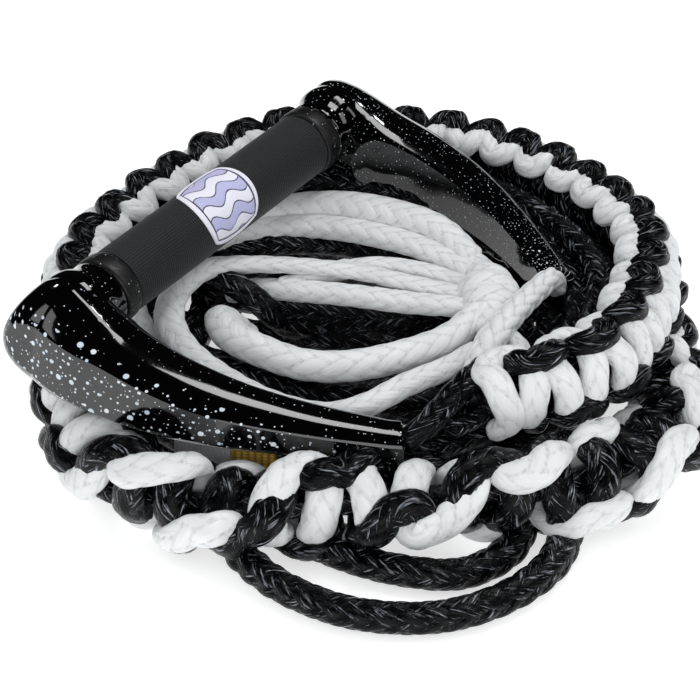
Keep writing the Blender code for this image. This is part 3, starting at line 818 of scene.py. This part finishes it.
def arm_radius(turn, half, shape):
    """Radius of one section in the given directions, and of the soft form before its flats are cut."""
    height, panel, wall, outer, inner = shape
    reach = np.where(np.cos(turn) > 0, outer, inner)
    soft = half * (
        np.abs(np.cos(turn) / reach) ** SECTION_POWER + np.abs(np.sin(turn) / height) ** SECTION_POWER
    ) ** (-1 / SECTION_POWER)
    cut = soft
    edges = []
    for facing, distance in ((PANEL_FACING, panel), (WALL_FACING, wall)):
        cosine = np.cos(turn - radians(facing))
        flat = np.where(cosine > 0.05, distance / np.maximum(cosine, 0.05), np.inf)
        inside = flat < soft
        reach = np.where(inside, (turn - radians(facing) + pi) % tau - pi, 0)
        low, high = min(reach.min(), -LEAST_FLAT), max(reach.max(), LEAST_FLAT)
        edges.append((radians(facing) + low, radians(facing) + high))
        cut = np.minimum(cut, flat)
    return cut, edges


def arm_directions(half, shape):
    """Directions for the points of one section, with a column along each edge of the two flats."""
    fine = tau * np.arange(1440) / 1440
    radius, ((panel_low, panel_high), (wall_low, wall_high)) = arm_radius(fine, half, shape)
    stretches = (
        (panel_low, panel_high, 26), (panel_high, wall_low, 46), (wall_low, wall_high, 26),
        (wall_high, panel_low + tau, 26),
    )
    turn = np.concatenate([np.linspace(a, b, count, endpoint=False) for a, b, count in stretches])
    return turn, np.interp(turn % tau, fine, radius, period=tau)


def arm_dots(side, y, turn, on_panel):
    """How thickly the large dots and the fine ones lie: the large ones most on the outer panel."""
    from_panel = np.abs((np.degrees(turn) - 10 + 180) % 360 - 180)
    spatter = np.clip(1.25 - from_panel / 50, 0, 1) * np.clip(0.35 + y / (150 * MM), 0, 1)[:, None]
    spatter = np.clip(spatter + 0.25 * on_panel, 0, 1)
    towards_tip = np.clip(1 - y / (45 * MM), 0, 1)[:, None]
    everywhere, more_at_tip = GLITTER[side]
    return {"spatter": spatter, "glitter": everywhere + more_at_tip * towards_tip + 0 * turn}


def tip_rim(section, centre, along, outward, half, turn):
    """The tip turns in over a rounded rim and becomes the mouth of the rope channel."""
    rim = []
    for bend in np.linspace(0, pi / 2, 7)[1:]:
        shrink = 1 - (1 - CHANNEL_RADIUS / half) * (1 - cos(bend))
        rim.append(centre - along * (RIM_LENGTH * sin(bend)) + (section - centre) * shrink)
    circle = outward * np.cos(turn)[:, None] + UP * np.sin(turn)[:, None]
    for depth in (2, 6, 12):
        rim.append(centre + along * (depth * MM) + CHANNEL_RADIUS * circle)
    return np.array(rim[::-1])


def arm(name, side):
    stations = catmull_rom(np.array(ARM_STATIONS) * MM, 20)
    shapes = catmull_rom(np.array(ARM_SHAPE), 12)
    quarter = np.sin(np.linspace(0, pi / 2, 56)[1:])
    start, mouth_reach = (NEAR_START, NEAR_MOUTH) if side < 0 else (FAR_START, FAR_MOUTH)
    head = HEAD_START + (HEAD_END - HEAD_START) * quarter
    y = np.concatenate([np.linspace(start, HEAD_START, 130), head])
    over = np.clip((y - HEAD_START) / (HEAD_END - HEAD_START), 0, 0.9995)
    closing = (1 - over**HEAD_POWER) ** (1 / HEAD_POWER)
    full = np.interp(np.minimum(y, HEAD_START), stations[:, 0], stations[:, 1])
    half = full * closing
    centre = arm_centre(side, y)
    along = arm_centre(side, y + 1 * MM) - arm_centre(side, y - 1 * MM)
    at_head = y > ARM_REACH - 12 * MM
    along = unit(np.where(at_head[:, None], along[at_head][0], along))
    outward = side * np.cross(along, (0, 0, 1))
    # The head closes towards its outer corner, so that the flat panel runs to the very end.
    centre = centre + outward * (HEAD_CORNER * HEAD_HALF * (1 - closing))[:, None]
    shape = np.stack([np.interp(y / MM, shapes[:, 0], column) for column in shapes[:, 1:-1].T], 1)
    rows, panels, turns = [], [], []
    for k, (height, panel, wall, slope, outer, inner) in enumerate(shape):
        shift = (centre[k] - arm_centre(side, y[k])) @ outward[k]
        flats = panel * full[k] - shift, wall * full[k] + shift
        turn, radius = arm_directions(half[k], (height, *flats, outer, inner))
        aside = radius * np.cos(turn)
        lift = radius * np.sin(turn) - slope * np.maximum(aside + shift, 0)
        rows.append(centre[k] + outward[k] * aside[:, None] + UP * lift[:, None])
        panels.append(aside + shift > 0.97 * panel * full[k])
        turns.append(turn)
    points, on_panel, turn = np.array(rows), np.array(panels), np.array(turns)
    girth = np.linalg.norm(np.diff(points, axis=1, append=points[:, :1]), axis=2) / MM
    girth = np.pad(np.cumsum(girth, 1), ((0, 0), (1, 0)))
    sideways = np.cos(turn[0]) ** 2
    mouth = np.clip(1 - (y - y[0]) / MOUTH_LENGTH, 0, 1) ** 2
    points = points - along[:, None, :] * (mouth_reach * mouth[:, None] * sideways)[..., None]
    rim = tip_rim(points[0], centre[0], along[0], outward[0], half[0], turn[0])
    points = np.concatenate([rim, points])
    values = {
        key: np.pad(value, ((len(rim), 0), (0, 0)), constant_values=DOTS_ON_RIM[key])
        for key, value in arm_dots(side, y, turn, on_panel).items()
    }
    at = np.concatenate([np.zeros(len(rim)), lengths(centre)])
    girth = np.concatenate([np.repeat(girth[:1], len(rim), 0), girth])

    def uv(i, j):
        return at[i] / MM + 0.0 * j + APART * side, girth[i, j]

    shell = on_handle(points)
    made = grid_object(name + "_shell", shell, GLOSS_BLACK, uv=uv, values=values, inward=side < 0)
    made.data.set_sharp_from_angle(angle=radians(22))
    neck = turned_piece(name + "_neck", side, NECK_PROFILE, GLOSS_BLACK)
    return join(name, [made, neck])


# Profiles about the grip's axis: (distance from the grip's middle, radius) in millimetres.
NECK_PROFILE = (
    (71.9, 9.8), (71.9, 13.7), (72.3, 14.1), (74, 14.2), (76, 14.3), (78, 14.7), (80, 15.4), (82, 16.2),
    (84, 16.8), (88, 16.6), (92, 15),
)
COLLAR_PROFILE = (
    (63.3, 9.8), (63.3, 13.7), (63.6, 14.1), (64.4, 14.35), (66.5, 14.5), (69, 14.5), (70.8, 14.4),
    (71.3, 14.1), (71.6, 13.7), (71.6, 9.8),
)


def round_grip(x, radius, turn):
    """Points at these radii and turns about the grip's axis, in the handle's axes."""
    return np.stack([x + 0 * turn, ARM_REACH + radius * np.cos(turn), radius * np.sin(turn)], -1)


def turned_piece(name, side, profile, material, sides=96):
    profile = np.array(profile, float) * MM
    turn = tau * np.arange(sides) / sides
    x = np.repeat(side * profile[:, :1], sides, 1)
    grid = round_grip(x, profile[:, 1:], turn)
    values = {"spatter": 0 * x, "glitter": 0.4 + 0 * x}

    def uv(i, j):
        return x[i, 0] / MM + 0.0 * j, 14.0 * tau * j / sides + 0.0 * i

    made = grid_object(name, on_handle(grid), material, uv=uv, values=values, inward=side > 0)
    made.data.set_sharp_from_angle(angle=radians(50))
    return made


def grip_cover():
    """The woven sleeve: threads stand proud in a plain weave."""
    cells_along = int(2 * SLEEVE_HALF / THREAD_PITCH)
    cells_around = 72
    per_cell = 3
    rows, columns = cells_along * per_cell + 1, cells_around * per_cell
    x = np.linspace(-SLEEVE_HALF, SLEEVE_HALF, rows)[:, None]
    turn = (tau * np.arange(columns) / columns)[None, :]
    u, v = cells_along * (x + SLEEVE_HALF) / (2 * SLEEVE_HALF), cells_around * turn / tau
    weave = np.sin(pi * u) * np.sin(pi * v)
    end = np.clip((SLEEVE_HALF - np.abs(x)) / (1.2 * MM), 0, 1)
    hem = 0.9 * MM * (1 - np.sqrt(1 - (1 - end) ** 2))
    radius = COVER_OUTER - 0.15 * MM + 0.16 * MM * np.abs(weave) - hem
    mouth = SLEEVE_HALF - 0.2 * MM
    low, high = (round_grip(at, COVER_INNER, turn) for at in (-mouth, mouth))
    closed = np.concatenate([low, round_grip(x, radius, turn), high])

    def uv(i, j):
        return (np.clip(i - 1, 0, rows - 1)) / per_cell + 0.0 * j, j / per_cell + 0.0 * i

    made = grid_object("grip_sleeve", on_handle(closed), SLEEVE_CLOTH, uv=uv, ends=False, inward=True)
    settle(made, "handle", "sleeve_fabric", "grip_cover")


EMBLEM_HALF = (17.0 * MM, 18.6 * MM)  # half size along the grip and around it
EMBLEM_PLACE = -2.5 * MM  # its centre along the grip
EMBLEM_TURN = radians(31)  # its centre, from the top of the grip towards the arm tips
WAVE_WIDTH = 5.2  # millimetres
SATIN_BORDER = 0.14  # share of the half size


def emblem():
    """An embroidered patch: a satin border, a dark outline and plain wavy bands."""
    rows, columns = 150, 160
    s, t = np.meshgrid(np.linspace(-1, 1, rows), np.linspace(-1, 1, columns), indexing="ij")
    u, v = s * np.sqrt(1 - t * t / 2.6), t * np.sqrt(1 - s * s / 2.6)
    along, around = u * EMBLEM_HALF[0], v * EMBLEM_HALF[1]
    rim = 1 - np.maximum(np.abs(s), np.abs(t))  # 0 at the edge
    waves = (around / MM + 1.8 * np.sin(along / MM * 0.42)) / WAVE_WIDTH
    band = np.floor(waves)
    within = waves - band
    tone = np.where(band % 2 == 0, 1.0, 0.4)
    tone = np.where(within < 0.1, 0.0, tone)
    tone = np.where(rim < 0.2, 0.0, tone)
    tone = np.where(rim < SATIN_BORDER, 1.0, tone)
    satin = 0.5 + 0.5 * np.sin((along + around) / MM * 2 * pi / 0.9)
    fill = 0.5 + 0.5 * np.sin(along / MM * 2 * pi / 0.8)
    raised = np.where(rim < SATIN_BORDER, 0.62 + 0.14 * satin, 0.42 + 0.12 * fill)
    raised = np.where(tone == 0.0, 0.3, raised) * np.sqrt(np.clip(rim / 0.06, 0, 1))
    radius = COVER_OUTER + 0.1 * MM + raised * MM
    angle = EMBLEM_TURN + around / COVER_OUTER
    grid = np.stack([EMBLEM_PLACE + along, ARM_REACH - radius * np.sin(angle), radius * np.cos(angle)], -1)
    made = grid_object(
        "grip_embroidery", on_handle(grid), THREAD, around=False, values={"tone": tone}, inward=True
    )
    settle(made, "handle", "emblem_thread", "grip_emblem")


def handle():
    for prefix, side in (("near", -1), ("far", 1)):
        settle(arm(prefix + "_arm_shell", side), "handle", "arm_gloss", prefix + "_arm")
        ring = turned_piece(prefix + "_ring", side, COLLAR_PROFILE, COLLAR_BLACK)
        settle(ring, "handle", "arm_gloss", prefix + "_collar")
    grip_cover()
    emblem()
    paint("grip_core_tube", TUBE_METAL)
    paint("grip_foam", FOAM)
    for prefix, material in (("near", BLACK_ROPE), ("far", WHITE_ROPE)):
        paint(prefix + "_tube_plug", FOAM)
        paint(prefix + "_stopper_knot", material)


def paint(node, material):
    obj = frame["nodes"][node]
    obj.data.materials.clear()
    obj.data.materials.append(material)


# ---- legs and slack loops

LEG_HALF, HIDDEN_LEG_HALF = 4.2 * MM, 4.3  # half thickness; half width inside the arm, in millimetres
# Each leg beyond its tip: (x, y, height) from the coil's centre and the half width.
NEAR_LEG = (
    (19, -100, 35.5, 4.2), (23, -101, 38.5, 4.6), (29, -99, 43, 5.4), (38, -90, 48, 6.0),
    (46, -81, 51, 6.6), (53, -73, 50.5, 6.8), (57, -69, 45, 6.4), (57, -69, 38, 6.0),
)
FAR_LEG = (
    (80, -5, 47, 4.3), (73, -17, 48.5, 4.8), (65, -32, 50, 5.4), (58, -45, 50, 6.0), (52, -57, 48, 6.4),
    (48, -68, 44, 6.2), (45, -78, 38, 5.6),
)


def legs():
    for name, side, rest, material, slot in (
        ("near", -1, NEAR_LEG, BLACK_ROPE, "black_rope"), ("far", 1, FAR_LEG, WHITE_ROPE, "white_rope"),
    ):
        inside = on_handle(arm_centre(side, np.linspace(108 * MM, 0, 10)))
        outside = on_coil(np.array(rest)[:, :3])
        half = np.concatenate([np.full(10, HIDDEN_LEG_HALF), np.array(rest)[:, 3]]) * MM
        rows = catmull_rom(np.column_stack([np.vstack([inside, outside]), half]), 24)
        path, wide = evenly(rows[:, :3], 0.9 * MM, rows[:, 3])
        thick = LEG_HALF + 0.25 * (wide - LEG_HALF)
        leg = rope(name + "_leg", path, material, 1.2 * MM, wide, thick, sides=36)
        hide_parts(name + "_rope_leg")
        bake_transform(leg)


# The loops' outlines on the floor: (x, y) from the coil's centre in millimetres.
OUTER_LOOP = (
    (-54, -94), (-47, -112), (-38, -132), (-22, -150), (2, -163), (30, -165), (54, -155), (72, -137),
    (80, -116), (82, -94),
)
INNER_LOOP = (
    (-30, -103), (-20, -117), (-4, -129), (16, -138), (38, -141), (54, -132), (62, -118), (64, -103),
)


def slack_loops():
    for name, outline in (("outer_slack_loop", OUTER_LOOP), ("inner_slack_loop", INNER_LOOP)):
        points = on_coil([(x, y, LINE_HEIGHT) for x, y in outline])
        path = smooth_through(points) + np.array((0, 0, 0.6 * MM))
        shown = name.replace("slack", "free")
        loop = rope(shown, path, BLACK_ROPE, 1.5 * MM, 6.0 * MM, 5.4 * MM, sides=40)
        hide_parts(name)
        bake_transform(loop)


# ---- keeper strap

STRAP_ANGLE = radians(-112)
STRAP_HALF_WIDTH = 12.5 * MM
STRAP_THICKNESS = 0.85 * MM
STRAP_RIBS = 9
STRAP_RAISED = 3.0 * MM  # the webbing stands up off the turns
TAB_SHIFT = -17.0 * MM  # the tab trails out sideways from under the webbing
TAB_HALF_WIDTH, TAB_THICKNESS, TAB_RIBS, TAB_LIFT = 11.5 * MM, 0.9 * MM, 22, 1.5 * MM


def loop_outline(half_width, half_height, corner, share):
    """A rounded rectangle's edge at shares of its length from 0 to 1 and beyond, counted anticlockwise."""
    steps = 24
    points = []
    for k, (sx, sy) in enumerate(((1, 1), (-1, 1), (-1, -1), (1, -1))):
        for i in range(steps + 1):
            angle = pi / 2 * (k + i / steps)
            points.append((sx * (half_width - corner) + corner * cos(angle),
                           sy * (half_height - corner) + corner * sin(angle)))
    points = np.array(points + points[:1])
    at = lengths(points)
    wanted = (share % 1) * at[-1]
    return np.stack([np.interp(wanted, at, points[:, k]) for k in (0, 1)], 1)


def band(name, centre, outline_size, shares, half_width, thickness, ribs, material, lift):
    """Webbing round the stacked turns: ribs run along it, and its section is closed."""
    path = loop_outline(*outline_size, 2.4 * MM, shares)
    path = path + unit(path) * np.broadcast_to(lift, shares.shape)[:, None]
    tangent = unit(np.gradient(path, axis=0))
    outward = np.stack([tangent[:, 1], -tangent[:, 0]], 1)
    columns = 8 * ribs
    v = np.linspace(-1, 1, columns)
    crown = np.abs(np.sin(pi * ribs * (v + 1) / 2)) ** 0.6
    along = lengths(path)[:, None] / MM
    weave = 0.5 + 0.5 * np.sin(along * tau / 1.4 + pi * np.floor(ribs * (v + 1) / 2))
    top = thickness + 0.32 * MM * crown[None, :] + 0.12 * MM * weave * crown
    height = np.concatenate([top, np.zeros((len(path), columns))], 1)
    across = np.concatenate([v, v[::-1]]) * half_width
    # This value paints shade on the webbing: low in the grooves and where the yarns dip, and low on the
    # inner face.
    rib = np.concatenate([crown * (0.55 + 0.45 * weave), 0.2 + 0 * weave], 1)
    radial = np.array((cos(STRAP_ANGLE), sin(STRAP_ANGLE), 0.0))
    sideways = np.cross(UP, radial)
    place = path[:, None, :] + outward[:, None, :] * height[..., None]
    grid = centre + place[..., :1] * radial + place[..., 1:] * UP + across[None, :, None] * sideways
    return grid_object(name, grid, material, values={"rib": rib})


def keeper():
    """Ribbed webbing round the raised turns, its overlapping end, and the grey closing tab."""
    low, high = (np.array(corner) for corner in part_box("keeper_strap"))
    centre = (low + high) / 2 + UP * STRAP_RAISED / 2
    size = (6.4 * MM, (high[2] - low[2] + STRAP_RAISED) / 2 - STRAP_THICKNESS)
    shares = np.linspace(0.30, 1.42, 220)
    overlap = np.clip((shares - 1.25) / 0.05, 0, 1) * 1.2 * MM
    strap = band(
        "keeper_band", centre, size, shares, STRAP_HALF_WIDTH, STRAP_THICKNESS, STRAP_RIBS, WEBBING, overlap
    )
    settle(strap, "rope_coil", "yellow_webbing", "keeper_strap")
    shares = np.linspace(-0.16, 0.30, 120)
    sideways = np.array((-sin(STRAP_ANGLE), cos(STRAP_ANGLE), 0.0))
    centre = centre + TAB_SHIFT * sideways
    tab = band(
        "keeper_tab", centre, size, shares, TAB_HALF_WIDTH, TAB_THICKNESS, TAB_RIBS, TAB_CLOTH, TAB_LIFT
    )
    settle(tab, "rope_coil", "grey_tab", "keeper_strap_tab")


# ---- stage

CAMERA_ELEVATION = radians(33)
CAMERA_DISTANCE = 0.95
CAMERA_TARGET = Vector((-0.8, -2.75, 30)) * MM
FLOOR_SIZE = 6.0
FLOOR_GLOW = 0.62
SKY, SKY_IN_REFLECTIONS, SKY_TO_CAMERA = (0.6, 0.61, 0.62), (0.01, 0.01, 0.01), (1, 1, 1)
AIM = (0, 0, 0.03)  # what most of the lights point at


def stage():
    floor_material = Graph("pale_floor")
    floor_material.finish((0.7, 0.7, 0.7), 0.9, Emission_Color=(1, 1, 1), Emission_Strength=FLOOR_GLOW)
    half = FLOOR_SIZE / 2
    corners = [(-half, -half, 0), (half, -half, 0), (half, half, 0), (-half, half, 0)]
    floor = new_object("floor", corners, [(0, 1, 2, 3)], floor_material.material, smooth=False)

    camera = bpy.data.cameras.new("camera")
    camera.lens = 123
    camera.sensor_width = 36
    camera.shift_y = -0.0214
    eye = bpy.data.objects.new("camera", camera)
    back = Vector((0, -cos(CAMERA_ELEVATION), sin(CAMERA_ELEVATION)))
    eye.location = CAMERA_TARGET + back * CAMERA_DISTANCE
    eye.rotation_euler = (-back).to_track_quat("-Z", "Y").to_euler()
    camera.clip_start = 0.01
    bpy.context.scene.collection.objects.link(eye)
    bpy.context.scene.camera = eye

    def softbox(name, place, target, size, power):
        light = bpy.data.lights.new(name, "AREA")
        light.shape = "RECTANGLE"
        light.size, light.size_y = size
        light.energy = power
        lamp = bpy.data.objects.new(name, light)
        lamp.location = place
        lamp.rotation_euler = (Vector(target) - Vector(place)).to_track_quat("-Z", "Y").to_euler()
        bpy.context.scene.collection.objects.link(lamp)

    softbox("top_box", (0.33, 0.27, 1.3), (0.1, 0, 0), (0.6, 0.34), 4.0)
    softbox("left_box", (-1.1, -0.5, 0.9), AIM, (0.3, 0.8), 1.3)
    softbox("right_box", (1.1, -0.2, 0.9), AIM, (0.3, 0.8), 1.6)
    softbox("front_box", (0.0, -1.3, 0.5), AIM, (1.4, 0.5), 5.0)
    softbox("right_spark", (0.5, 0.4, 1.1), AIM, (0.09, 0.09), 0.6)
    softbox("left_spark", (-0.55, 0.45, 1.0), AIM, (0.09, 0.09), 0.6)

    world = bpy.data.worlds.new("studio")
    bpy.context.scene.world = world
    world.use_nodes = True
    nodes, links = world.node_tree.nodes, world.node_tree.links
    rays = nodes.new("ShaderNodeLightPath")
    colour = (*SKY, 1)
    for kind, seen in (("Is Glossy Ray", SKY_IN_REFLECTIONS), ("Is Camera Ray", SKY_TO_CAMERA)):
        switch = nodes.new("ShaderNodeMix")
        switch.data_type = "RGBA"
        links.new(rays.outputs[kind], switch.inputs[0])
        if isinstance(colour, tuple):
            switch.inputs[6].default_value = colour
        else:
            links.new(colour, switch.inputs[6])
        switch.inputs[7].default_value = (*seen, 1)
        colour = switch.outputs[2]
    background = nodes["Background"]
    links.new(colour, background.inputs[0])
    background.inputs[1].default_value = 1.0
    bpy.context.scene.view_settings.view_transform = "Standard"


knotted_section()
main_line()
inner_lines()
knots()
handle()
legs()
slack_loops()
keeper()
stage()
